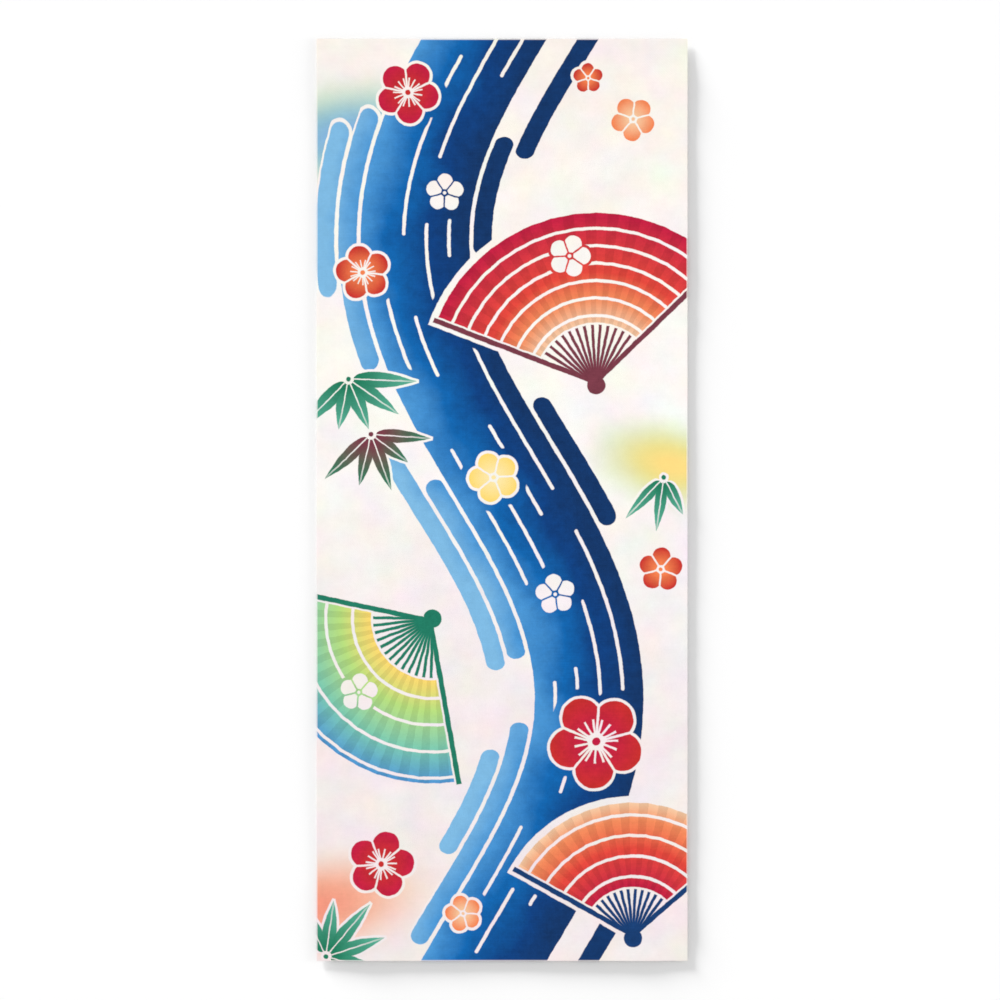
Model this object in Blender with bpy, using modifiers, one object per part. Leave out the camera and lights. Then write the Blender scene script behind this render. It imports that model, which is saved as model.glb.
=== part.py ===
"""A tenugui: one cut length of plain-woven cotton that lies flat with its dyed face up.

It is a single piece. The two long sides are the loom's own selvedges and the two short ends
are simply cut, so there is no hem, lining or stitching. The cloth is relaxed: most of its
underside lies on the surface, with very low ridges across the middle and edges that stand
up to a few millimetres off it.

Metres, +Z up. The origin is on the surface under the cloth's middle, +X runs from selvedge
to selvedge and +Y along the cloth, towards the end that is the top of the print.
"""

from collections import namedtuple
from math import cos, radians, sin

import bmesh
import bpy

# The cut length.
CLOTH_WIDTH = 0.362  # selvedge to selvedge
CLOTH_LENGTH = 0.900  # cut end to cut end
CLOTH_THICKNESS = 0.0012  # a few times the real weave's, so that it is a sound solid

# The grid that the relaxed shape is drawn on.
CELLS_ACROSS = 24
CELLS_ALONG = 60

# Cotton, off-white before dyeing.
COTTON_COLOUR = (0.90, 0.87, 0.82, 1.0)
COTTON_ROUGHNESS = 0.92

# How high each edge stands off the surface along nearly its whole length, and how far inwards
# from it the cloth is raised. The stand comes down over CORNER_FALL before each corner, and
# every lift below ends before it, so the cloth stands on its four corners and on its middle.
EdgeStand = namedtuple("EdgeStand", "edge reach height")
EDGE_STANDS = (
    EdgeStand("right", 0.062, 0.0017),
    EdgeStand("left", 0.052, 0.0011),
    EdgeStand("bottom", 0.062, 0.0017),
    EdgeStand("top", 0.050, 0.0009),
)
CORNER_FALL = 0.055

# Where an edge lifts a little more. place is measured along that edge from its middle,
# half_length to each side of it, and reach inwards from the edge.
EdgeLift = namedtuple("EdgeLift", "edge place half_length reach height")
EDGE_LIFTS = (
    EdgeLift("right", 0.258, 0.150, 0.058, 0.0006),
    EdgeLift("right", -0.020, 0.140, 0.050, 0.0004),
    EdgeLift("right", -0.272, 0.160, 0.060, 0.0007),
    EdgeLift("left", 0.190, 0.170, 0.046, 0.0004),
    EdgeLift("left", -0.212, 0.190, 0.050, 0.0006),
    EdgeLift("bottom", -0.084, 0.090, 0.056, 0.0004),
    EdgeLift("bottom", 0.080, 0.095, 0.060, 0.0006),
    EdgeLift("top", 0.050, 0.110, 0.046, 0.0003),
)

# Low ridges left by handling. x and y are a ridge's middle and turn is its heading in
# degrees from +X.
Ridge = namedtuple("Ridge", "x y turn half_length half_width height")
RIDGES = (
    Ridge(0.052, 0.290, 24.0, 0.150, 0.040, 0.0008),
    Ridge(-0.062, 0.142, -17.0, 0.130, 0.036, 0.0006),
    Ridge(0.078, -0.098, 66.0, 0.120, 0.034, 0.0006),
    Ridge(-0.058, -0.236, 12.0, 0.140, 0.042, 0.0008),
    Ridge(0.040, -0.352, -28.0, 0.100, 0.034, 0.0006),
)


def swell(distance, half_width):
    """1 at the middle of a ridge, falling smoothly to 0 at half_width and beyond."""
    share = min(abs(distance) / half_width, 1.0)
    return (1.0 - share * share) ** 2


def curl(inwards, reach):
    """1 at the cloth's edge, falling to 0 where the cloth meets the surface at reach."""
    return (1.0 - min(inwards / reach, 1.0)) ** 2


def beside(edge, x, y):
    """A point seen from an edge: how far along it from its middle and inwards from it."""
    half_width, half_length = CLOTH_WIDTH / 2, CLOTH_LENGTH / 2
    return {
        "right": (y, half_width - x),
        "left": (y, half_width + x),
        "top": (x, half_length - y),
        "bottom": (x, half_length + y),
    }[edge]


def stand_height(stand, x, y):
    """How far the stand of one edge raises the point (x, y)."""
    along, inwards = beside(stand.edge, x, y)
    side = CLOTH_LENGTH if stand.edge in ("right", "left") else CLOTH_WIDTH
    rise = min((side / 2 - abs(along)) / CORNER_FALL, 1.0)
    return stand.height * rise * rise * (3.0 - 2.0 * rise) * curl(inwards, stand.reach)


def lift_height(lift, x, y):
    """How far one edge lift raises the point (x, y)."""
    along, inwards = beside(lift.edge, x, y)
    return lift.height * swell(along - lift.place, lift.half_length) * curl(inwards, lift.reach)


def ridge_height(ridge, x, y):
    """How far one ridge raises the point (x, y)."""
    heading = radians(ridge.turn)
    right, ahead = x - ridge.x, y - ridge.y
    along = right * cos(heading) + ahead * sin(heading)
    across = ahead * cos(heading) - right * sin(heading)
    return ridge.height * swell(along, ridge.half_length) * swell(across, ridge.half_width)


def rest_height(x, y):
    """The underside's height above the surface: 0 wherever the cloth touches it."""
    stands = sum(stand_height(stand, x, y) for stand in EDGE_STANDS)
    lifts = sum(lift_height(lift, x, y) for lift in EDGE_LIFTS)
    ridges = sum(ridge_height(ridge, x, y) for ridge in RIDGES)
    return stands + lifts + ridges


def cotton_material():
    """Undyed cotton. The print is a matter of colour alone, so it isn't in the solid."""
    material = bpy.data.materials.new("plain_woven_cotton")
    material.use_nodes = True
    shader = material.node_tree.nodes["Principled BSDF"]
    shader.inputs["Base Color"].default_value = COTTON_COLOUR
    shader.inputs["Roughness"].default_value = COTTON_ROUGHNESS
    shader.inputs["Metallic"].default_value = 0.0
    return material


def make_cloth(collection):
    """The underside as a grid that follows the rest height, thickened upwards."""
    surface = bmesh.new()
    bmesh.ops.create_grid(surface, x_segments=CELLS_ACROSS, y_segments=CELLS_ALONG, size=0.5)
    for point in surface.verts:
        point.co.x *= CLOTH_WIDTH
        point.co.y *= CLOTH_LENGTH
        point.co.z = rest_height(point.co.x, point.co.y)
    mesh = bpy.data.meshes.new("towel_cloth")
    surface.to_mesh(mesh)
    surface.free()
    mesh.shade_smooth()
    mesh.materials.append(cotton_material())

    cloth = bpy.data.objects.new("towel_cloth", mesh)
    collection.objects.link(cloth)
    thickness = cloth.modifiers.new("cloth_thickness", "SOLIDIFY")
    thickness.thickness = CLOTH_THICKNESS
    thickness.offset = 1.0
    return cloth


def main():
    for old in list(bpy.data.objects):
        bpy.data.objects.remove(old)
    towel = bpy.data.collections.new("tenugui_towel")
    bpy.context.scene.collection.children.link(towel)
    make_cloth(towel)


main()
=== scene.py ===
# %% [markdown]
# A tenugui is one cut length of plain-woven cotton, dyed through a paper stencil. It has no hem,
# lining or stitching, so its looks are all in the cloth: how flat it lies, how its edges lift,
# and how the dye sits in the threads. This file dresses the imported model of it. The sheet comes
# first, then the print, which is worked out by shader nodes in real millimetres, then the
# weave, and last the floor, the light and the camera.
#
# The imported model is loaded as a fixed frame. Its box gives the size of everything that follows.

from collections import namedtuple
from math import cos, hypot, pi, radians, sin, tau
from random import Random

import bmesh
import bpy
from mathutils import Matrix, Vector, noise


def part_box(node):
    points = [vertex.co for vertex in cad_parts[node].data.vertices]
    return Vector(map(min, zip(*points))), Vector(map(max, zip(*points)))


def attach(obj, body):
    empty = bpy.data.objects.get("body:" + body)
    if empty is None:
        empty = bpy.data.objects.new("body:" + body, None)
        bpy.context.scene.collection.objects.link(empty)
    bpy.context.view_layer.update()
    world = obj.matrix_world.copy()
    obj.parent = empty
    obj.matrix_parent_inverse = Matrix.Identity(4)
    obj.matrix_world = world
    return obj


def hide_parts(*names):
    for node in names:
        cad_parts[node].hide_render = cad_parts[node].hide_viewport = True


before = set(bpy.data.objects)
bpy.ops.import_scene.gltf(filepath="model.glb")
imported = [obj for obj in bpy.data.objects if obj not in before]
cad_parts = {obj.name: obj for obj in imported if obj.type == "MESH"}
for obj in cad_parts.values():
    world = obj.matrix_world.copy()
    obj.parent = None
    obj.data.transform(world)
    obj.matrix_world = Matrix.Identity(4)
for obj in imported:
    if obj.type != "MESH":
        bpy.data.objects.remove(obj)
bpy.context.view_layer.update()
MM_PER_M = 1000.0
cloth_low, cloth_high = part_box("towel_cloth")
CLOTH_WIDTH = round(cloth_high.x - cloth_low.x, 3)
CLOTH_LENGTH = round(cloth_high.y - cloth_low.y, 3)
HALF_WIDTH = CLOTH_WIDTH / 2
HALF_LENGTH = CLOTH_LENGTH / 2
print(f"cloth {CLOTH_WIDTH * MM_PER_M:.0f} x {CLOTH_LENGTH * MM_PER_M:.0f} mm")

# %% [markdown]
# The cloth was folded for a while and then laid out, so it isn't perfectly flat. Most of it
# touches the surface, the edges stand off it by a millimetre or two and lift a little more in
# places, and a few soft ridges cross the middle. The solid has these forms too. They are worked
# out here by the same functions, so that the thin sheet lies on the solid's folds.

# %% The relaxed shape
EdgeStand = namedtuple("EdgeStand", "edge reach height")
EDGE_STANDS = (
    EdgeStand("right", 0.062, 0.0017),
    EdgeStand("left", 0.052, 0.0011),
    EdgeStand("bottom", 0.062, 0.0017),
    EdgeStand("top", 0.050, 0.0009),
)
CORNER_FALL = 0.055
EdgeLift = namedtuple("EdgeLift", "edge place half_length reach height")
EDGE_LIFTS = (
    EdgeLift("right", 0.258, 0.150, 0.058, 0.0006),
    EdgeLift("right", -0.020, 0.140, 0.050, 0.0004),
    EdgeLift("right", -0.272, 0.160, 0.060, 0.0007),
    EdgeLift("left", 0.190, 0.170, 0.046, 0.0004),
    EdgeLift("left", -0.212, 0.190, 0.050, 0.0006),
    EdgeLift("bottom", -0.084, 0.090, 0.056, 0.0004),
    EdgeLift("bottom", 0.080, 0.095, 0.060, 0.0006),
    EdgeLift("top", 0.050, 0.110, 0.046, 0.0003),
)
Ridge = namedtuple("Ridge", "x y turn half_length half_width height")
RIDGES = (
    Ridge(0.052, 0.290, 24.0, 0.150, 0.040, 0.0008),
    Ridge(-0.062, 0.142, -17.0, 0.130, 0.036, 0.0006),
    Ridge(0.078, -0.098, 66.0, 0.120, 0.034, 0.0006),
    Ridge(-0.058, -0.236, 12.0, 0.140, 0.042, 0.0008),
    Ridge(0.040, -0.352, -28.0, 0.100, 0.034, 0.0006),
)


def swell(distance, half_width):
    """1 at the middle of a ridge, falling smoothly to 0 at half_width and beyond."""
    share = min(abs(distance) / half_width, 1.0)
    return (1.0 - share * share) ** 2


def curl(inwards, reach):
    """1 at the cloth's edge, falling to 0 where the cloth meets the surface at reach."""
    return (1.0 - min(max(inwards, 0.0) / reach, 1.0)) ** 2


def beside(edge, x, y):
    """A point seen from an edge: how far along it from its middle and inwards from it."""
    return {
        "right": (y, HALF_WIDTH - x),
        "left": (y, HALF_WIDTH + x),
        "top": (x, HALF_LENGTH - y),
        "bottom": (x, HALF_LENGTH + y),
    }[edge]


def stand_height(stand, x, y):
    """How far the stand of one edge raises the point (x, y)."""
    along, inwards = beside(stand.edge, x, y)
    half_side = HALF_LENGTH if stand.edge in ("right", "left") else HALF_WIDTH
    rise = min(max(half_side - abs(along), 0.0) / CORNER_FALL, 1.0)
    return stand.height * rise * rise * (3.0 - 2.0 * rise) * curl(inwards, stand.reach)


def lift_height(lift, x, y):
    """How far one edge lift raises the point (x, y)."""
    along, inwards = beside(lift.edge, x, y)
    return lift.height * swell(along - lift.place, lift.half_length) * curl(inwards, lift.reach)


def ridge_height(ridge, x, y):
    """How far one ridge raises the point (x, y)."""
    heading = radians(ridge.turn)
    right, ahead = x - ridge.x, y - ridge.y
    along = right * cos(heading) + ahead * sin(heading)
    across = ahead * cos(heading) - right * sin(heading)
    return ridge.height * swell(along, ridge.half_length) * swell(across, ridge.half_width)


def rest_height(x, y):
    """The underside's height above the surface: 0 wherever the cloth touches it."""
    stands = sum(stand_height(stand, x, y) for stand in EDGE_STANDS)
    lifts = sum(lift_height(lift, x, y) for lift in EDGE_LIFTS)
    ridges = sum(ridge_height(ridge, x, y) for ridge in RIDGES)
    return stands + lifts + ridges


middles = ((HALF_WIDTH, 0.0), (-HALF_WIDTH, 0.0), (0.0, -HALF_LENGTH), (0.0, HALF_LENGTH))
print("edge middles up by", [round(rest_height(x, y) * MM_PER_M, 1) for x, y in middles], "mm")

# %% [markdown]
# Loose-woven cotton also cockles: it rises by a tenth of a millimetre or so in patches as wide
# as a thumb. Along the two selvedges, where the weft turns back, the edge is a little longer
# than the cloth beside it and puckers. Both are far lower than the edge lifts, and both are
# made from smooth noise that only ever raises the cloth, so nothing sinks into the floor. Each
# selvedge puckers in its own way, because it reads its own row of that noise.
#
# The solid is thicker than the real cloth, so the sheet has room inside it. Its rim and its
# four corners ride up towards the solid's top face, as the edges of relaxed cloth curl.

# %% Cockle, selvedge pucker and rim
COCKLE_SIZE = 0.022
COCKLE_HEIGHT = 0.00022
COCKLE_STRETCH = 0.8
PUCKER_SIZE = 0.017
PUCKER_HEIGHT = 0.00055
PUCKER_REACH = 0.016
RIGHT_ROW = 3.7
LEFT_ROW = 8.2
RIM_RISES = {"right": 0.0007, "left": 0.0005, "bottom": 0.0007, "top": 0.0001}
RIM_REACH = 0.045
CORNER_RISE = 0.0014
CORNER_REACH = 0.090


def cockle(x, y):
    """The small rise of the relaxed cloth at (x, y)."""
    wave = noise.noise(Vector((x, y * COCKLE_STRETCH, 0.0)) / COCKLE_SIZE)
    return COCKLE_HEIGHT * max(wave, 0.0)


def pucker(x, y):
    """The rise of the selvedge nearest to (x, y)."""
    inwards = HALF_WIDTH - abs(x)
    row = RIGHT_ROW if x > 0 else LEFT_ROW
    wave = noise.noise(Vector((row, y / PUCKER_SIZE, inwards / PUCKER_REACH)))
    return PUCKER_HEIGHT * max(wave, 0.0) * curl(inwards, PUCKER_REACH)


def rim_rise(x, y):
    """How far the rim and the corners of the cloth curl up from the solid's underside."""
    rim = max(RIM_RISES[edge] * curl(beside(edge, x, y)[1], RIM_REACH) for edge in RIM_RISES)
    from_corner = hypot(HALF_WIDTH - abs(x), HALF_LENGTH - abs(y))
    return rim + CORNER_RISE * swell(from_corner, CORNER_REACH)


def sheet_height(x, y):
    """The height of the thin sheet's underside at (x, y)."""
    return rest_height(x, y) + cockle(x, y) + pucker(x, y) + rim_rise(x, y)


selvedge = [sheet_height(HALF_WIDTH, place / 100) for place in range(-40, 41)]
print(f"right selvedge {min(selvedge) * MM_PER_M:.1f} to {max(selvedge) * MM_PER_M:.1f} mm up")

# %% [markdown]
# The cloth is a real sheet with two faces and a rim. A grid is the simplest start: its points
# are moved to the cut size and raised, and a Solidify modifier gives it the thickness of the
# fabric. The grid's cells are about 2.7 mm, the coarsest that still draws the puckers. Smooth
# shading would bend the light over the whole last cell at the rim, so a Weighted Normal modifier
# lets the wide top face decide it instead of the thin rim.

# %% The cloth
CLOTH_THICKNESS = 0.0004
CELL = 0.0027
LARGE_FACE_WEIGHT = 100


def new_piece(name, shape, material):
    """Put a finished bmesh into the scene as one smooth-shaded piece with one material."""
    mesh = bpy.data.meshes.new(name)
    shape.to_mesh(mesh)
    shape.free()
    mesh.shade_smooth()
    mesh.materials.append(material)
    piece = bpy.data.objects.new(name, mesh)
    bpy.context.scene.collection.objects.link(piece)
    return piece


def make_cloth(material):
    """The sheet, as a grid on the relaxed shape with the thickness of the fabric."""
    shape = bmesh.new()
    bmesh.ops.create_grid(
        shape,
        x_segments=round(CLOTH_WIDTH / CELL),
        y_segments=round(CLOTH_LENGTH / CELL),
        size=0.5,
    )
    bmesh.ops.scale(shape, vec=(CLOTH_WIDTH, CLOTH_LENGTH, 1.0), verts=shape.verts)
    for point in shape.verts:
        point.co.z = sheet_height(point.co.x, point.co.y)
    cloth = new_piece("tenugui_cloth", shape, material)
    thickness = cloth.modifiers.new("fabric_thickness", "SOLIDIFY")
    thickness.thickness = CLOTH_THICKNESS
    thickness.offset = 1.0
    shading = cloth.modifiers.new("face_weighted_shading", "WEIGHTED_NORMAL")
    shading.weight = LARGE_FACE_WEIGHT
    return cloth


cotton = bpy.data.materials.new("plain_weave_cotton_poured_dye")
cotton.use_nodes = True
tree = cotton.node_tree
tree.nodes.clear()
cloth = make_cloth(cotton)
print(f"{len(cloth.data.polygons)} cells in the sheet")

# %% [markdown]
# The rest of the cloth's look is its material. Two small helpers do all the wiring. One turns a
# dye's sRGB hex value to the linear colour that the renderer works in. The other adds a node:
# unnamed inputs fill its open sockets in order, names that start with a capital letter fill
# the socket of that name, and the other names are the node's own settings. A colour ramp's
# stops are given as its first, its last and then those between.

# %% Two helpers
def linear(hex_colour):
    """An sRGB hex colour as the linear RGBA that shader sockets take."""
    channels = [int(hex_colour[i : i + 2], 16) / 255 for i in (1, 3, 5)]
    return (*[c / 12.92 if c <= 0.04045 else ((c + 0.055) / 1.055) ** 2.4 for c in channels], 1.0)


def add(tree, kind, *inputs, stops=(), **named):
    """Add one shader node to tree, with its settings, its inputs and a colour ramp's stops."""
    node = tree.nodes.new("ShaderNode" + kind)
    for name in (n for n in named if n[0].islower()):
        setattr(node, name, named[name])
    given = list(zip([socket for socket in node.inputs if socket.enabled], inputs))
    given += [(node.inputs[n.replace("_", " ")], named[n]) for n in named if n[0].isupper()]
    for socket, source in given:
        if isinstance(source, bpy.types.Node):
            source = next(output for output in source.outputs if output.enabled)
        if isinstance(source, bpy.types.NodeSocket):
            tree.links.new(source, socket)
        else:
            socket.default_value = source
    for index, (place, hex_colour) in enumerate(stops):
        elements = node.color_ramp.elements
        element = elements[index] if index < 2 else elements.new(place)
        element.position = place
        element.color = linear(hex_colour)
    return node


print("half grey is", round(linear("#808080")[0], 3), "in linear light")

# %% [markdown]
# The dye is poured through a resist paste, so every edge in the print is crisp but hand-cut: it
# wanders by about half a millimetre, and the dye creeps a little further along the threads.
# The print is drawn in millimetres from the cloth's middle, and a soft noise moves the place
# that is looked up, which gives every motif the same wandering edge at once.

# %% Millimetres and the hand-cut edge
WANDER_SIZE = 9.0
WANDER = 1.3
CREEP_SIZE = 1.8
CREEP = 0.55
NOISE_MIDDLE = (0.5, 0.5, 0.5)

object_place = add(tree, "TexCoord").outputs["Object"]
cloth_mm = add(tree, "VectorMath", object_place, (MM_PER_M, MM_PER_M, 0.0), operation="MULTIPLY")
wander = add(tree, "TexNoise", cloth_mm, Scale=1 / WANDER_SIZE, Detail=1.0).outputs["Color"]
wander = add(tree, "VectorMath", wander, NOISE_MIDDLE, operation="SUBTRACT")
creep = add(tree, "TexNoise", cloth_mm, Scale=1 / CREEP_SIZE, Detail=1.0).outputs["Color"]
creep = add(tree, "VectorMath", creep, NOISE_MIDDLE, operation="SUBTRACT")
print_mm = add(tree, "VectorMath", wander, (WANDER, WANDER, 0.0), cloth_mm, operation="MULTIPLY_ADD")
print_mm = add(tree, "VectorMath", creep, (CREEP, CREEP, 0.0), print_mm, operation="MULTIPLY_ADD")
print_parts = add(tree, "SeparateXYZ", print_mm)
x_mm, y_mm = print_parts.outputs["X"], print_parts.outputs["Y"]
print(f"an edge in the print wanders by up to {(WANDER + CREEP) / 2:.1f} mm")

# %% [markdown]
# Undyed tenugui cotton is a warm off-white. It isn't even: the wash leaves it creamier at one
# end and a touch pinker at the other, and loose dye in the rinsing water tints it in faint
# clouds a few centimetres wide, which the noise's three colour channels give.

# %% The undyed ground
GROUND_STOPS = [(0.0, "#F3E9E8"), (1.0, "#FAF3EB"), (0.35, "#F6EEEE"), (0.62, "#FDF9F5")]
CLOUD_SIZE = 70.0
CLOUD_DRIFT = 0.36
TINT_SIZE = 38.0
TINT_SWING = 0.22

end_mm = HALF_LENGTH * MM_PER_M
cloud = add(tree, "TexNoise", cloth_mm, Scale=1 / CLOUD_SIZE, Detail=3.0)
drift = add(tree, "Math", cloud, CLOUD_DRIFT, -CLOUD_DRIFT / 2, operation="MULTIPLY_ADD")
ground_place = add(tree, "MapRange", y_mm, -end_mm, end_mm, 0.0, 1.0)
ground_place = add(tree, "Math", ground_place, drift, operation="ADD")
undyed = add(tree, "ValToRGB", ground_place, stops=GROUND_STOPS)
tint = add(tree, "TexNoise", cloth_mm, Scale=1 / TINT_SIZE, Detail=2.0).outputs["Color"]
tint = add(tree, "VectorMath", tint, NOISE_MIDDLE, operation="SUBTRACT")
tint = add(tree, "VectorMath", tint, (TINT_SWING,) * 3, (1.0,) * 3, operation="MULTIPLY_ADD")
ground = add(tree, "VectorMath", undyed, tint, operation="MULTIPLY")
print("the ground runs through", len(GROUND_STOPS), "tones")

# %% [markdown]
# These are the dyes that more than one motif uses. A dyer mixes a few pots of each and shades
# one into the next, so the print holds together although its motifs differ.

# %% The dyes
CRIMSON = "#C51A42"
VERMILION = "#C82D2B"
SCARLET = "#E6483C"
ORANGE = "#F5824F"
APRICOT = "#F58D5D"
PEACH = "#F7C49A"
YELLOW = "#FFDB70"
FOREST = "#1F7C5C"
TEAL = "#57AE94"
MAROON = "#7A3A48"
print("the crimson dye is", [round(c, 3) for c in linear(CRIMSON)])

# %% [markdown]
# In the print, every shape is found by its signed distance in millimetres: below 0 inside the
# shape and above 0 outside. Two shapes are joined by the smaller distance, one is cut by
# another with the larger, and the dye's edge is drawn where the distance passes 0. EDGE is half
# the width of that change, a few threads, because the resist isn't sharper than the weave.
#
# Under the crisp shapes lie soft fields of colour with no resist at all. The dyer brushes out
# the dye into wet cloth, a shading called bokashi, so each field fades to the ground.

# %% Soft fields of brushed dye
EDGE = 0.45
FIELD_CORE = 0.25
FIELD_STRENGTH = 0.90
Field = namedtuple("Field", "x y turn half_width half_height near far")
FIELDS = (
    Field(-150.0, 356.0, 10.0, 150.0, 66.0, "#69A9DF", "#A1D7A9"),
    Field(166.0, 34.0, -14.0, 100.0, 52.0, YELLOW, "#C6E38D"),
    Field(-185.0, -398.0, 10.0, 150.0, 66.0, "#F58D6D", "#F7C4A0"),
)
colour = ground
for field in FIELDS:
    own = add(
        tree,
        "Mapping",
        print_mm,
        (field.x, field.y, 0.0),
        (0.0, 0.0, radians(field.turn)),
        (field.half_width, field.half_height, 1.0),
        vector_type="TEXTURE",
    )
    out = add(tree, "VectorMath", own, operation="LENGTH")
    shade = add(tree, "ValToRGB", out, stops=[(0.1, field.near), (0.75, field.far)])
    strength = add(
        tree, "MapRange", out, 1.0, FIELD_CORE, 0.0, FIELD_STRENGTH, interpolation_type="SMOOTHSTEP"
    )
    colour = add(tree, "Mix", strength, colour, shade, data_type="RGBA")
print(f"{len(FIELDS)} brushed fields")

# %% [markdown]
# The crisp shapes are drawn first and dyed afterwards, because the lines in the water have to
# know where the other motifs are. Fans, blossoms and sprays are all built round a middle, so
# each looks at the cloth from there: a point has a bearing, and a distance from that middle.
# Petals and leaves also ask how far a point lies along the nearest one, and how far beside it.

# %% A motif's own compass
def seen_from_middle(tree, at, row):
    """The bearing and the distance of each point, seen from the middle of one motif."""
    place, turn = (row.x, row.y, 0.0), (0.0, 0.0, radians(row.turn))
    own = add(tree, "Mapping", at, place, turn, vector_type="TEXTURE")
    parts = add(tree, "SeparateXYZ", own)
    bearing = add(tree, "Math", parts.outputs["Y"], parts.outputs["X"], operation="ARCTAN2")
    radius = add(tree, "VectorMath", own, operation="LENGTH")
    return bearing, radius


def ahead_and_beside(tree, bearing, radius):
    """How far a point lies along a petal or leaf and beside it, bearing being 0 along it."""
    ahead = add(tree, "Math", bearing, operation="COSINE")
    ahead = add(tree, "Math", ahead, radius, operation="MULTIPLY")
    sideways = add(tree, "Math", bearing, operation="SINE")
    sideways = add(tree, "Math", sideways, radius, operation="MULTIPLY")
    return ahead, sideways


print("a full turn is", round(tau, 3), "radians")

# %% [markdown]
# A folding fan is a sector: a pleated leaf, the sticks under it that meet at the rivet, and a
# heavier guard at each side. Wrapping the bearing into one pleat makes one pleat stand for all
# of them, and multiplying the radius by its cosine gives the leaf the short straight edges of
# folded paper.

# %% The shape of a fan
Fan = namedtuple("Fan", "name x y turn reach inner half_angle pleats arc_step leaf_stops stick")
FanShape = namedtuple("FanShape", "outline leaf frame place facet")
FACET_TONE = 0.07
ARC_WIDTH = 3.0
STICK_WIDTH = 3.0
GUARD_WIDTH = 5.0
GUARD_GAP = 1.8
STICK_GAP = 2.0
RIVET_RADIUS = 9.0
LEAF_RIM = 3.0


def fan_shape(tree, at, row):
    """The distances from a fan's outline, leaf and frame, the place on the leaf, and its facets."""
    pleat = radians(2 * row.half_angle / row.pleats)
    bearing, radius = seen_from_middle(tree, at, row)
    within = add(tree, "Math", bearing, pleat / 2, -pleat / 2, operation="WRAP")
    facet = add(tree, "Math", within, operation="SIGN")
    facet = add(tree, "Math", facet, FACET_TONE, 1.0 - FACET_TONE, operation="MULTIPLY_ADD")
    within = add(tree, "Math", within, operation="ABSOLUTE")
    fold = add(tree, "Math", within, operation="COSINE")
    fold = add(tree, "Math", fold, radius, operation="MULTIPLY")

    side = add(tree, "Math", bearing, operation="ABSOLUTE")
    side = add(tree, "Math", side, radians(row.half_angle), operation="SUBTRACT")
    side = add(tree, "Math", side, radius, operation="MULTIPLY")
    sector = add(tree, "Math", radius, row.reach + LEAF_RIM, operation="SUBTRACT")
    sector = add(tree, "Math", sector, side, operation="MAXIMUM")
    rivet = add(tree, "Math", radius, RIVET_RADIUS, operation="SUBTRACT")
    outline = add(tree, "Math", sector, rivet, operation="MINIMUM")

    beyond = add(tree, "Math", fold, row.reach, operation="SUBTRACT")
    short = add(tree, "Math", row.inner, fold, operation="SUBTRACT")
    leaf = add(tree, "Math", beyond, short, operation="MAXIMUM")
    leaf_side = add(tree, "Math", side, GUARD_WIDTH + GUARD_GAP, operation="ADD")
    leaf = add(tree, "Math", leaf, leaf_side, operation="MAXIMUM")
    arc = add(tree, "Math", fold, row.arc_step / 2, -row.arc_step / 2, operation="WRAP")
    arc = add(tree, "Math", arc, operation="ABSOLUTE")
    arc = add(tree, "Math", ARC_WIDTH / 2, arc, operation="SUBTRACT")
    leaf = add(tree, "Math", leaf, arc, operation="MAXIMUM")

    stick = add(tree, "Math", within, radius, operation="MULTIPLY")
    stick = add(tree, "Math", stick, STICK_WIDTH / 2, operation="SUBTRACT")
    under_leaf = add(tree, "Math", radius, row.inner - STICK_GAP, operation="SUBTRACT")
    stick = add(tree, "Math", stick, under_leaf, operation="MAXIMUM")
    stick = add(tree, "Math", stick, side, operation="MAXIMUM")
    guard = add(tree, "Math", side, GUARD_WIDTH / 2, operation="ADD")
    guard = add(tree, "Math", guard, operation="ABSOLUTE")
    guard = add(tree, "Math", guard, GUARD_WIDTH / 2, operation="SUBTRACT")
    guard = add(tree, "Math", guard, sector, operation="MAXIMUM")
    fan_frame = add(tree, "Math", stick, guard, operation="MINIMUM")
    fan_frame = add(tree, "Math", fan_frame, rivet, operation="MINIMUM")
    place = add(tree, "MapRange", fold, row.inner, row.reach, 0.0, 1.0)
    return FanShape(outline, leaf, fan_frame, place, facet)


FANS = (
    Fan(
        "red fan", 92.0, 112.0, 101.5, 168.0, 61.0, 57.5, 15, 17.0,
        [(0.0, "#F7C9A4"), (1.0, CRIMSON), (0.22, APRICOT), (0.46, SCARLET)], MAROON,
    ),
    Fan(
        "green fan", -68.0, -116.0, 224.0, 161.0, 60.0, 56.0, 15, 26.0,
        [(0.0, YELLOW), (1.0, "#4E97D3"), (0.30, "#B9E07F"), (0.66, "#7ECBB0")], "#1F7C63",
    ),
    Fan(
        "peach fan", 128.0, -428.0, 96.0, 132.0, 50.0, 55.0, 13, 20.0,
        [(0.0, CRIMSON), (1.0, "#F9CDA6"), (0.46, SCARLET), (0.80, APRICOT)], "#133C71",
    ),
)
fan_shapes = [fan_shape(tree, print_mm, row) for row in FANS]
print(f"{len(FANS)} fans drawn")

# %% [markdown]
# Plum blossoms lie between the fans. Each has five petals, so the bearing is wrapped into a
# fifth of a turn and one round petal stands for all five. A thin resist line parts each petal
# from the next, and the larger ones have stamens. The petal, the ring of resist round the
# heart, the stamens and most of a line's width are shares of the blossom's radius.

# %% The shape of a blossom
Blossom = namedtuple("Blossom", "x y turn radius heart rim stamens around")
BlossomShape = namedtuple("BlossomShape", "outline petals place")
PETAL = tau / 5
PETAL_MIDDLE = 0.58
PETAL_RADIUS = 0.40
FILLED_MIDDLE = 0.30
PARTING_GROWTH = 0.015
PARTING_LEAST = 0.5  # mm
HEART_RADIUS = 0.085
RING_RADIUS = 0.15
STAMENS_A_PETAL = 3
STAMEN_REACH = 0.46
STAMEN_HALF_WIDTH = 0.022


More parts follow.
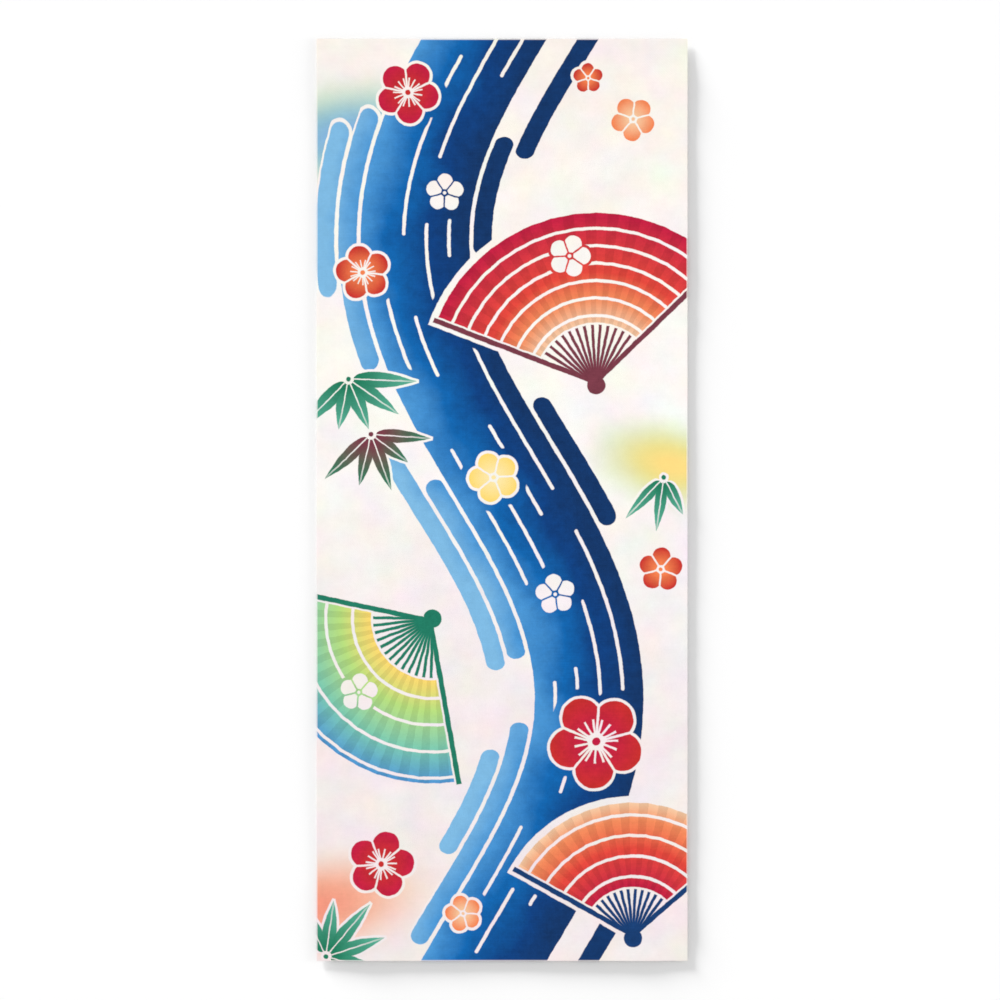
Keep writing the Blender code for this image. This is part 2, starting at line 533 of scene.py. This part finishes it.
def blossom_shape(tree, at, row):
    """The distances from a blossom's outline and its petals, and the place from heart to rim."""
    size = row.radius
    bearing, radius = seen_from_middle(tree, at, row)
    within = add(tree, "Math", bearing, PETAL / 2, -PETAL / 2, operation="WRAP")
    within = add(tree, "Math", within, operation="ABSOLUTE")
    ahead, sideways = ahead_and_beside(tree, within, radius)
    folded = add(tree, "CombineXYZ", ahead, sideways, 0.0)
    petal = add(tree, "VectorMath", folded, (PETAL_MIDDLE * size, 0.0, 0.0), operation="DISTANCE")
    petal = add(tree, "Math", petal, PETAL_RADIUS * size, operation="SUBTRACT")
    middle = add(tree, "Math", radius, FILLED_MIDDLE * size, operation="SUBTRACT")
    outline = add(tree, "Math", petal, middle, operation="MINIMUM")

    parting = add(tree, "Math", PETAL / 2, within, operation="SUBTRACT")
    parting = add(tree, "Math", parting, radius, operation="MULTIPLY")
    parting_width = PARTING_LEAST + PARTING_GROWTH * size
    parting = add(tree, "Math", parting_width, parting, operation="SUBTRACT")
    petals = add(tree, "Math", petal, parting, operation="MAXIMUM")
    ring = add(tree, "Math", RING_RADIUS * size, radius, operation="SUBTRACT")
    petals = add(tree, "Math", petals, ring, operation="MAXIMUM")
    if row.stamens:
        gap = PETAL / STAMENS_A_PETAL
        stamen = add(tree, "Math", bearing, gap / 2, -gap / 2, operation="WRAP")
        stamen = add(tree, "Math", stamen, operation="ABSOLUTE")
        stamen = add(tree, "Math", stamen, radius, operation="MULTIPLY")
        stamen = add(tree, "Math", STAMEN_HALF_WIDTH * size, stamen, operation="SUBTRACT")
        stamen_end = add(tree, "Math", STAMEN_REACH * size, radius, operation="SUBTRACT")
        stamen = add(tree, "Math", stamen, stamen_end, operation="MINIMUM")
        petals = add(tree, "Math", petals, stamen, operation="MAXIMUM")
    heart = add(tree, "Math", radius, HEART_RADIUS * size, operation="SUBTRACT")
    petals = add(tree, "Math", petals, heart, operation="MINIMUM")
    outward = add(tree, "Math", radius, 1 / size, operation="MULTIPLY")
    return BlossomShape(outline, petals, outward)


BLOSSOMS = (
    Blossom(92.0, -236.0, 50.0, 47.0, CRIMSON, VERMILION, True, "ground"),
    Blossom(-136.0, 222.0, 30.0, 27.0, ORANGE, VERMILION, True, "ground"),
    Blossom(-92.0, 398.0, -12.0, 31.0, VERMILION, CRIMSON, True, "ground"),
    Blossom(128.0, 372.0, 50.0, 22.0, PEACH, ORANGE, False, "ground"),
    Blossom(84.0, 412.0, 20.0, 15.0, ORANGE, VERMILION, False, "ground"),
    Blossom(155.0, -68.0, 14.0, 22.0, ORANGE, VERMILION, False, "ground"),
    Blossom(-8.0, 22.0, 40.0, 25.0, "#FFE9A8", YELLOW, False, "ground"),
    Blossom(-118.0, -356.0, 4.0, 33.0, VERMILION, CRIMSON, True, "ground"),
    Blossom(-38.0, -404.0, 34.0, 18.0, PEACH, ORANGE, False, "ground"),
    Blossom(-56.0, 300.0, 16.0, 19.0, None, None, False, "water"),
    Blossom(52.0, -92.0, 26.0, 20.0, None, None, False, "water"),
    Blossom(66.0, 238.0, 2.0, 21.0, None, None, False, "red fan"),
    Blossom(-140.0, -188.0, 12.0, 19.0, None, None, False, "green fan"),
)
blossom_shapes = [blossom_shape(tree, print_mm, row) for row in BLOSSOMS]
print(f"{len(BLOSSOMS)} blossoms drawn")

# %% [markdown]
# Sprays of bamboo leaves fill the places between. The leaves stand round the knot of a twig, a
# few to each side of the middle one, and every point belongs to the leaf whose bearing is
# nearest. Each leaf is widest a third of the way out and runs to a point, and white noise makes
# some shorter than others.

# %% The shape of a spray of bamboo leaves
Spray = namedtuple("Spray", "x y turn reach a_side pitch base tip")
SprayShape = namedtuple("SprayShape", "outline leaves place")
LEAF_ROOT = 5.0
LEAF_FULLNESS = 0.30
SHORTEST_LEAF = 0.66
KNOT_RADIUS = 2.3
VEIN_WIDTH = 1.1
VEIN_REACH = 0.78


def spray_shape(tree, at, row):
    """The distances from a spray's outline and its leaves, and the place from root to tip."""
    pitch = radians(row.pitch)
    bearing, radius = seen_from_middle(tree, at, row)
    leaf_no = add(tree, "Math", bearing, 1 / pitch, operation="MULTIPLY")
    leaf_no = add(tree, "Math", leaf_no, operation="ROUND")
    leaf_no = add(tree, "Clamp", leaf_no, -row.a_side, row.a_side)
    leaf_key = add(tree, "Math", leaf_no, row.x, operation="ADD")
    chance = add(tree, "TexWhiteNoise", leaf_key, noise_dimensions="1D")
    length = add(tree, "MapRange", chance, 0.0, 1.0, row.reach * SHORTEST_LEAF, row.reach)
    within = add(tree, "Math", leaf_no, -pitch, bearing, operation="MULTIPLY_ADD")
    within = add(tree, "Math", within, operation="ABSOLUTE")
    ahead, sideways = ahead_and_beside(tree, within, radius)
    share = add(tree, "Math", ahead, LEAF_ROOT, operation="SUBTRACT")
    share = add(tree, "Math", share, length, operation="DIVIDE")
    share = add(tree, "Math", share, 0.0, operation="MAXIMUM")
    narrowing = add(tree, "Math", 1.0, share, operation="SUBTRACT")
    swelling = add(tree, "Math", share, operation="SQRT")
    width = add(tree, "Math", narrowing, swelling, operation="MULTIPLY")
    width = add(tree, "Math", width, row.reach * LEAF_FULLNESS, operation="MULTIPLY")
    leaf = add(tree, "Math", sideways, width, operation="SUBTRACT")
    past_tip = add(tree, "Math", share, 1.0, operation="SUBTRACT")
    past_tip = add(tree, "Math", past_tip, length, operation="MULTIPLY")
    leaf = add(tree, "Math", leaf, past_tip, operation="MAXIMUM")
    behind = add(tree, "Math", LEAF_ROOT / 2, ahead, operation="SUBTRACT")
    leaf = add(tree, "Math", leaf, behind, operation="MAXIMUM")
    knot = add(tree, "Math", radius, KNOT_RADIUS, operation="SUBTRACT")
    outline = add(tree, "Math", leaf, knot, operation="MINIMUM")
    vein = add(tree, "Math", VEIN_WIDTH / 2, sideways, operation="SUBTRACT")
    vein_end = add(tree, "Math", VEIN_REACH, share, operation="SUBTRACT")
    vein = add(tree, "Math", vein, vein_end, operation="MINIMUM")
    leaves = add(tree, "Math", leaf, vein, operation="MAXIMUM")
    leaves = add(tree, "Math", leaves, knot, operation="MINIMUM")
    return SprayShape(outline, leaves, share)


SPRAYS = (
    Spray(-150.0, 118.0, -68.0, 68.0, 2, 33.0, FOREST, TEAL),
    Spray(-128.0, 64.0, -70.0, 58.0, 2, 33.0, MAROON, FOREST),
    Spray(158.0, 22.0, -98.0, 50.0, 1, 35.0, FOREST, TEAL),
    Spray(-172.0, -446.0, 50.0, 62.0, 2, 32.0, FOREST, TEAL),
)
spray_shapes = [spray_shape(tree, print_mm, row) for row in SPRAYS]
print(f"{len(SPRAYS)} sprays drawn")

# %% [markdown]
# A stream winds down the cloth under all of them. Its middle line is a sine. "across" is the
# distance from that line, measured square to it, and "along" is the height on the cloth of the
# line's nearest point. The stream is laid out in lanes that follow the bends, as a stencil
# cutter would rule them.

# %% The stream's bends
STREAM_SWING = 85.0
STREAM_PERIOD = 900.0
STREAM_START = 30.0

turn_rate = tau / STREAM_PERIOD
phase = add(tree, "Math", y_mm, turn_rate, -turn_rate * STREAM_START, operation="MULTIPLY_ADD")
bend = add(tree, "Math", phase, operation="SINE")
aside = add(tree, "Math", bend, STREAM_SWING, x_mm, operation="MULTIPLY_ADD")
slope = add(tree, "Math", phase, operation="COSINE")
slope = add(tree, "Math", slope, STREAM_SWING * turn_rate, operation="MULTIPLY")
stretch = add(tree, "Math", slope, slope, 1.0, operation="MULTIPLY_ADD")
stretch = add(tree, "Math", stretch, operation="SQRT")
across = add(tree, "Math", aside, stretch, operation="DIVIDE")
foot = add(tree, "Math", slope, stretch, operation="DIVIDE")
foot = add(tree, "Math", foot, across, operation="MULTIPLY")
along = add(tree, "Math", y_mm, foot, operation="SUBTRACT")
print(f"the stream swings {STREAM_SWING * 2:.0f} mm from side to side")

# %% [markdown]
# Both the white current lines and the loose strands beside the stream are bars with round ends,
# of uneven lengths, one after the other in each lane. One function finds the distance from
# such bars. White noise gives each lane its own start and each bar its own length, and a bar
# that would be a mere dot is left out, which is what a shortest length below 0 is for.

# %% Bars in lanes
LANE = 22.0
MERE_DOT = 0.75
Bars = namedtuple("Bars", "period shortest longest thickness seed")


def bars_in_lanes(tree, across, along, stretch, kind):
    """Distance in mm from the round-ended bars that lie one after another in each lane."""
    lane_no = add(tree, "Math", across, 1 / LANE, operation="MULTIPLY")
    lane_no = add(tree, "Math", lane_no, operation="ROUND")
    from_lane = add(tree, "Math", across, LANE / 2, -LANE / 2, operation="WRAP")
    lane_key = add(tree, "Math", lane_no, kind.seed, operation="ADD")
    start = add(tree, "TexWhiteNoise", lane_key, noise_dimensions="1D")
    place = add(tree, "Math", along, 1 / kind.period, start, operation="MULTIPLY_ADD")
    count = add(tree, "Math", place, operation="FLOOR")
    within = add(tree, "Math", place, operation="FRACT")
    from_middle = add(tree, "Math", within, 0.5, operation="SUBTRACT")
    from_middle = add(tree, "Math", from_middle, operation="ABSOLUTE")
    bar_key = add(tree, "CombineXYZ", lane_no, count, kind.seed)
    chance = add(tree, "TexWhiteNoise", bar_key, noise_dimensions="3D")
    half = add(tree, "MapRange", chance, 0.0, 1.0, kind.shortest / 2, kind.longest / 2)
    past_end = add(tree, "Math", from_middle, kind.period, operation="MULTIPLY")
    past_end = add(tree, "Math", past_end, half, operation="SUBTRACT")
    past_end = add(tree, "Math", past_end, 0.0, operation="MAXIMUM")
    too_short = add(tree, "Math", half, kind.thickness * MERE_DOT, operation="LESS_THAN")
    past_end = add(tree, "Math", too_short, kind.period, past_end, operation="MULTIPLY_ADD")
    past_end = add(tree, "Math", past_end, stretch, operation="MULTIPLY")
    away = add(tree, "CombineXYZ", past_end, from_lane, 0.0)
    away = add(tree, "VectorMath", away, operation="LENGTH")
    return add(tree, "Math", away, kind.thickness / 2, operation="SUBTRACT")


LANE_GAP = 3.8
STRANDS = Bars(300.0, -40.0, 250.0, LANE - LANE_GAP, 11.0)
CURRENT_LINES = Bars(190.0, 20.0, 168.0, 3.4, 10.0)

strands = bars_in_lanes(tree, across, along, stretch, STRANDS)
between_lanes = add(tree, "Math", across, LANE / 2, operation="ADD")
current_lines = bars_in_lanes(tree, between_lanes, along, stretch, CURRENT_LINES)
print(f"lanes of {LANE:.0f} mm, strands {STRANDS.thickness:.1f} mm thick")

# %% [markdown]
# The water is the stream's core and the strands on both sides of it, less the current lines,
# which run between the lanes. A line stops short of every motif that lies in the water, and a
# smooth maximum keeps its end soft.

# %% The shape of the water
CORE_LANES = 5
STREAM_LANES = 9
CLEARANCE = 9.0
LINE_END_ROUNDING = 3.0

out_of_core = add(tree, "Math", across, operation="ABSOLUTE")
core = add(tree, "Math", out_of_core, (CORE_LANES * LANE - LANE_GAP) / 2, operation="SUBTRACT")
outside = add(tree, "Math", out_of_core, STREAM_LANES * LANE / 2, operation="GREATER_THAN")
strands = add(tree, "Math", outside, STREAM_PERIOD, strands, operation="MULTIPLY_ADD")
water = add(tree, "Math", core, strands, operation="MINIMUM")

motifs = fan_shapes[0].outline
for shape in fan_shapes[1:] + blossom_shapes + spray_shapes:
    motifs = add(tree, "Math", motifs, shape.outline, operation="MINIMUM")
too_near = add(tree, "Math", CLEARANCE, motifs, operation="SUBTRACT")
lines = add(tree, "Math", current_lines, too_near, LINE_END_ROUNDING, operation="SMOOTH_MAX")
not_line = add(tree, "Math", lines, -1.0, operation="MULTIPLY")
water_dye = add(tree, "Math", water, not_line, operation="MAXIMUM")
print(f"the stream's core is {CORE_LANES * LANE - LANE_GAP:.0f} mm wide")

# %% [markdown]
# Now the dyes go on, from the lowest layer up. The stream is shaded across its width from sky
# blue to navy in one brushed pass, so its colours run into each other with no edge. A line of
# resist runs round the whole of it, as the dam that keeps two poured dyes apart. Every motif is
# laid on in this way, first the bare dam a few millimetres wider than the shape, then the dye.

# %% Dye the stream
WATER_STOPS = [
    (0.02, "#7FBBE4"),
    (0.82, "#0D3568"),
    (0.22, "#4A96D4"),
    (0.42, "#0A66B0"),
    (0.62, "#063F80"),
]
SKY_SIDE = -92.0
NAVY_SIDE = 80.0
STREAM_DAM = 3.2


def lay(tree, under, dye, distance, beyond=0.0):
    """Cover what is under with dye, inside a shape and up to so many mm beyond its edge."""
    inside = add(tree, "MapRange", distance, beyond + EDGE, beyond - EDGE, 0.0, 1.0)
    return add(tree, "Mix", inside, under, dye, data_type="RGBA")


water_place = add(tree, "MapRange", across, SKY_SIDE, NAVY_SIDE, 0.0, 1.0)
water_place = add(tree, "Math", water_place, drift, operation="ADD")
water_colour = add(tree, "ValToRGB", water_place, stops=WATER_STOPS)
colour = lay(tree, colour, ground, water, STREAM_DAM)
colour = lay(tree, colour, water_colour, water_dye)
print("stream dyed in", len(WATER_STOPS), "blues")

# %% [markdown]
# A fan's leaf is shaded from its inner edge to its rim, and every second facet of the pleats
# is a little darker. The resist is left white between the fan and what it lies on.

# %% Dye the fans
FAN_DAM = 3.6

leaf_dyes = {}
for row, shape in zip(FANS, fan_shapes):
    leaf_dye = add(tree, "ValToRGB", shape.place, stops=row.leaf_stops)
    leaf_dye = add(tree, "VectorMath", leaf_dye, Scale=shape.facet, operation="SCALE")
    colour = lay(tree, colour, ground, shape.outline, FAN_DAM)
    colour = lay(tree, colour, leaf_dye, shape.leaf)
    colour = lay(tree, colour, linear(row.stick), shape.frame)
    leaf_dyes[row.name] = leaf_dye
print("fans dyed:", ", ".join(leaf_dyes))

# %% [markdown]
# A blossom is shaded from its heart to its rim. One with no dye of its own stays white, and
# where it lies on a fan, the leaf's dye is filled in close round it. The sprays come last.

# %% Dye the blossoms and the leaves
BLOSSOM_DAM = 2.8
SPRAY_DAM = 2.4

fill_round = {"ground": ground, **leaf_dyes}
for row, shape in zip(BLOSSOMS, blossom_shapes):
    if row.around in fill_round:
        colour = lay(tree, colour, fill_round[row.around], shape.outline, BLOSSOM_DAM)
    petal_dye = ground
    if row.heart:
        petal_dye = add(tree, "ValToRGB", shape.place, stops=[(0.25, row.heart), (0.95, row.rim)])
    colour = lay(tree, colour, petal_dye, shape.petals)

for row, shape in zip(SPRAYS, spray_shapes):
    leaf_dye = add(tree, "ValToRGB", shape.place, stops=[(0.1, row.base), (0.9, row.tip)])
    colour = lay(tree, colour, ground, shape.outline, SPRAY_DAM)
    colour = lay(tree, colour, leaf_dye, shape.leaves)
print(f"{len(tree.nodes)} nodes so far")

# %% [markdown]
# Dye never takes evenly. Poured dye pools and thins in small soft patches, and the threads take
# it up in faint streaks, more along the weft than along the warp, because each yarn has thick
# and thin places. Deep blue shows this most and white least, so the swing follows how light the
# eye finds the colour, which is close to the cube root of the light that it gives back. The
# very edge of the cloth stays paler where the resist paste held it.

# %% How evenly the dye took
MOTTLE_SIZE = 12.0
MOTTLE_SHARE = 8.0
SLUB_LENGTH = 34.0
SLUB_WIDTH = 1.3
WEFT_SHARE = 1.6
WARP_SHARE = 0.8
DARK_TONE = 0.35
PALE_TONE = 0.88
DARK_SWING = 0.12
PALE_SWING = 0.016
RIM_WIDTH = 0.9
RIM_FADE = 0.3
RIM_PALENESS = 0.62

mottle = add(tree, "TexNoise", cloth_mm, Scale=1 / MOTTLE_SIZE, Detail=4.0, Roughness=0.8)
weft_scale = (1 / SLUB_LENGTH, 1 / SLUB_WIDTH, 0.0)
weft_slub = add(tree, "VectorMath", cloth_mm, weft_scale, operation="MULTIPLY")
weft_slub = add(tree, "TexNoise", weft_slub, Scale=1.0, Detail=1.0)
warp_scale = (1 / SLUB_WIDTH, 1 / SLUB_LENGTH, 0.0)
warp_slub = add(tree, "VectorMath", cloth_mm, warp_scale, operation="MULTIPLY")
warp_slub = add(tree, "TexNoise", warp_slub, Scale=1.0, Detail=1.0)
warp_slub = add(tree, "Math", warp_slub, WARP_SHARE, operation="MULTIPLY")
slub = add(tree, "Math", weft_slub, WEFT_SHARE, warp_slub, operation="MULTIPLY_ADD")
grain = add(tree, "Math", mottle, MOTTLE_SHARE, slub, operation="MULTIPLY_ADD")
grain_middle = (MOTTLE_SHARE + WEFT_SHARE + WARP_SHARE) / 2
grain = add(tree, "Math", grain, grain_middle, operation="SUBTRACT")
tone = add(tree, "RGBToBW", colour)
tone = add(tree, "Math", tone, 1 / 3, operation="POWER")
swing = add(tree, "MapRange", tone, DARK_TONE, PALE_TONE, DARK_SWING, PALE_SWING)
take = add(tree, "Math", grain, swing, 1.0, operation="MULTIPLY_ADD")
uneven = add(tree, "VectorMath", colour, Scale=take, operation="SCALE")

cloth_parts = add(tree, "SeparateXYZ", cloth_mm)
from_side = add(tree, "Math", cloth_parts.outputs["X"], operation="ABSOLUTE")
from_side = add(tree, "Math", HALF_WIDTH * MM_PER_M, from_side, operation="SUBTRACT")
from_end = add(tree, "Math", cloth_parts.outputs["Y"], operation="ABSOLUTE")
from_end = add(tree, "Math", HALF_LENGTH * MM_PER_M, from_end, operation="SUBTRACT")
pale = add(tree, "Math", from_side, from_end, operation="MINIMUM")
pale = add(tree, "MapRange", pale, RIM_WIDTH + RIM_FADE, RIM_WIDTH - RIM_FADE, 0.0, RIM_PALENESS)
finished = add(tree, "Mix", pale, uneven, ground, data_type="RGBA")
print(f"{len(tree.nodes)} nodes in the print")

# %% [markdown]
# The weave itself has two or three threads to the millimetre, finer than a pixel here. So it is
# drawn as a low bump with threads 1.2 mm wide, about three times their real width. The product
# of two sines raises one thread and then the other, as plain weave does. Cotton has no gloss:
# its roughness is high, a thick yarn's a little less so, and a little sheen stands for the
# fibres that stand up from the threads.

# %% The woven surface
THREAD_WIDTH = 1.2
WEAVE_DEPTH = 0.00006
THIN_YARN = 0.7
THICK_YARN = 1.7
THIN_ROUGHNESS = 0.96
THICK_ROUGHNESS = 0.86

weave_x = add(tree, "Math", cloth_parts.outputs["X"], pi / THREAD_WIDTH, operation="MULTIPLY")
weave_x = add(tree, "Math", weave_x, operation="SINE")
weave_y = add(tree, "Math", cloth_parts.outputs["Y"], pi / THREAD_WIDTH, operation="MULTIPLY")
weave_y = add(tree, "Math", weave_y, operation="SINE")
weave = add(tree, "Math", weave_x, weave_y, slub, operation="MULTIPLY_ADD")
bump = add(tree, "Bump", Strength=0.35, Distance=WEAVE_DEPTH, Height=weave)
roughness = add(tree, "MapRange", slub, THIN_YARN, THICK_YARN, THIN_ROUGHNESS, THICK_ROUGHNESS)
shader = add(
    tree,
    "BsdfPrincipled",
    Base_Color=finished,
    Roughness=roughness,
    Normal=bump,
    IOR=1.53,
    Specular_IOR_Level=0.1,
    Sheen_Weight=0.03,
    Sheen_Roughness=0.6,
)
add(tree, "OutputMaterial", shader)
print(f"{len(tree.nodes)} nodes in the cloth's material")

# %% [markdown]
# At the two cut ends the last warp threads stick out by less than a millimetre. They are short
# three-sided yarn ends, joined in one piece, with fewer of them than the real cloth has. Each
# has its own length, tilt and splay, and they are undyed like the rim beside them.

# %% Cut warp ends
YARN_PITCH = 0.0009
YARN_RADIUS = 0.00014
YARN_SHORTEST = 0.0004
YARN_LONGEST = 0.0011
YARN_ROOT = 0.0002  # how deep each one sits in the cloth
YARN_TAPER = 0.7
YARN_STRAY = 0.3  # of the pitch, to each side
YARN_TILT = 6.0
YARN_SPLAY = 22.0


def make_warp_ends(material):
    """All the yarn ends at both cut ends, as one piece."""
    chance = Random(7)
    shape = bmesh.new()
    for end in (-1, 1):
        for number in range(int(CLOTH_WIDTH / YARN_PITCH)):
            stray = chance.uniform(-YARN_STRAY, YARN_STRAY)
            x = -HALF_WIDTH + (number + 0.5 + stray) * YARN_PITCH
            length = chance.uniform(YARN_SHORTEST, YARN_LONGEST)
            height = sheet_height(x, end * HALF_LENGTH) + CLOTH_THICKNESS / 2
            middle = Vector((x, end * (HALF_LENGTH + length / 2 - YARN_ROOT), height))
            tilt = radians(90.0 + chance.uniform(-YARN_TILT, YARN_TILT))
            splay = radians(chance.uniform(-YARN_SPLAY, YARN_SPLAY))
            turned = Matrix.Rotation(splay, 4, "Z") @ Matrix.Rotation(tilt, 4, "X")
            bmesh.ops.create_cone(
                shape,
                cap_ends=True,
                segments=3,
                radius1=YARN_RADIUS,
                radius2=YARN_RADIUS * YARN_TAPER,
                depth=length,
                matrix=Matrix.Translation(middle) @ turned,
            )
    return new_piece("cut_warp_ends", shape, material)


raw_yarn = bpy.data.materials.new("undyed_cotton_yarn")
raw_yarn.use_nodes = True
yarn_tree = raw_yarn.node_tree
yarn_tree.nodes.clear()
yarn_place = add(yarn_tree, "TexCoord").outputs["Object"]
yarn_mm = add(yarn_tree, "VectorMath", yarn_place, Scale=MM_PER_M, operation="SCALE")
yarn_tone = add(yarn_tree, "TexNoise", yarn_mm, Scale=0.9, Detail=2.0)
yarn_colour = add(yarn_tree, "ValToRGB", yarn_tone, stops=[(0.35, "#E4DAD2"), (0.65, "#F6EFE8")])
yarn_shader = add(yarn_tree, "BsdfPrincipled", Base_Color=yarn_colour, Roughness=0.94, Sheen_Weight=0.2)
add(yarn_tree, "OutputMaterial", yarn_shader)
warp_ends = make_warp_ends(raw_yarn)
print(f"{len(warp_ends.data.polygons)} faces in the warp ends")

# %% [markdown]
# The floor is plain and pale, far larger than the cloth so that no view sees its edge. It lies
# a tenth of a millimetre under the cloth's lowest point, so the two never share a plane.

# %% Floor
FLOOR_SIZE = 60.0
FLOOR_DROP = 0.0001


def make_floor():
    """One large plain plane under the cloth."""
    shape = bmesh.new()
    bmesh.ops.create_grid(shape, x_segments=1, y_segments=1, size=FLOOR_SIZE / 2)
    bmesh.ops.translate(shape, vec=(0.0, 0.0, -FLOOR_DROP), verts=shape.verts)
    paper = bpy.data.materials.new("matt_white_paper")
    paper.use_nodes = True
    shader = paper.node_tree.nodes["Principled BSDF"]
    shader.inputs["Base Color"].default_value = linear("#FCFCFC")
    shader.inputs["Roughness"].default_value = 1.0
    shader.inputs["Specular IOR Level"].default_value = 0.0
    return new_piece("studio_floor", shape, paper)


floor = make_floor()
print(f"the floor lies {FLOOR_DROP * MM_PER_M:.1f} mm under the cloth's lowest point")

# %% [markdown]
# The sky is a pale dome, brighter towards the horizon, and gives most of the light. A soft lamp
# at the upper left lights the cloth from halfway up. Cloth is only a few millimetres high, so
# it takes a much lower lamp to draw the long soft shadow that the photograph has at the right
# and the bottom. Such a lamp would also rake every thread of the cloth, so it is linked to the
# floor alone. A faint one at the right draws the thin pale shade that the left side has.

# %% Light
HORIZON_STRENGTH = 1.0
ZENITH_STRENGTH = 0.56
HORIZON_TOP = 0.25  # the upward part of a direction, 0 level and 1 straight up
ZENITH_START = 0.65


def soft_sun(name, bearing, height, softness, brightness, lit):
    """A soft lamp, placed in degrees; brightness is what it adds to a white level surface."""
    heading, rise = radians(bearing), radians(height)
    data = bpy.data.lights.new(name, "SUN")
    data.energy = brightness * pi / sin(rise)
    data.angle = radians(softness)
    lamp = bpy.data.objects.new(name, data)
    bpy.context.scene.collection.objects.link(lamp)
    towards = Vector((cos(heading) * cos(rise), sin(heading) * cos(rise), sin(rise)))
    lamp.rotation_euler = towards.to_track_quat("Z", "Y").to_euler()
    lit_by_it = bpy.data.collections.new(name + "_lights")
    for piece in lit:
        lit_by_it.objects.link(piece)
    lamp.light_linking.receiver_collection = lit_by_it


world = bpy.data.worlds.new("studio_sky")
bpy.context.scene.world = world
world.use_nodes = True
sky_tree = world.node_tree
sky_tree.nodes.clear()
direction = add(sky_tree, "TexCoord").outputs["Generated"]
up = add(sky_tree, "SeparateXYZ", direction).outputs["Z"]
dome = add(sky_tree, "MapRange", up, HORIZON_TOP, ZENITH_START, HORIZON_STRENGTH, ZENITH_STRENGTH)
sky = add(sky_tree, "Background", (1.0, 1.0, 1.0, 1.0), dome)
add(sky_tree, "OutputWorld", sky)

on_cloth = [cloth, warp_ends]
soft_sun("cloth_lamp", bearing=128.0, height=52.0, softness=20.0, brightness=0.35, lit=on_cloth)
soft_sun("floor_lamp", bearing=128.0, height=7.5, softness=13.0, brightness=0.32, lit=[floor])
soft_sun("floor_fill", bearing=0.0, height=10.0, softness=18.0, brightness=0.06, lit=[floor])
print(len(bpy.data.lights), "lamps")

# %% [markdown]
# The photograph looks straight down on the cloth with no perspective that can be seen, so the
# camera hangs well above it with a long lens. Its frame is 977 mm wide, and the cloth's middle
# is 2 pixels right of the frame's.

# %% Camera
FRAME_WIDTH = 0.977
LENS = 100.0
SENSOR = 36.0
RIGHT_OF_CLOTH = -0.0020
ABOVE_CLOTH = -0.0002

camera_data = bpy.data.cameras.new("overhead_camera")
camera_data.lens = LENS
camera_data.sensor_width = SENSOR
camera = bpy.data.objects.new("overhead_camera", camera_data)
bpy.context.scene.collection.objects.link(camera)
camera.location = (RIGHT_OF_CLOTH, ABOVE_CLOTH, FRAME_WIDTH * LENS / SENSOR)
bpy.context.scene.camera = camera
bpy.context.scene.view_settings.view_transform = "Standard"
print(f"camera {camera.location.z:.2f} m above the floor")

# %% [markdown]
# Last, each piece is told what carries it. The cloth stands for the imported solid, which is hidden but
# kept.

# %% Hand over
for piece in (cloth, warp_ends):
    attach(piece, "root")
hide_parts("towel_cloth")
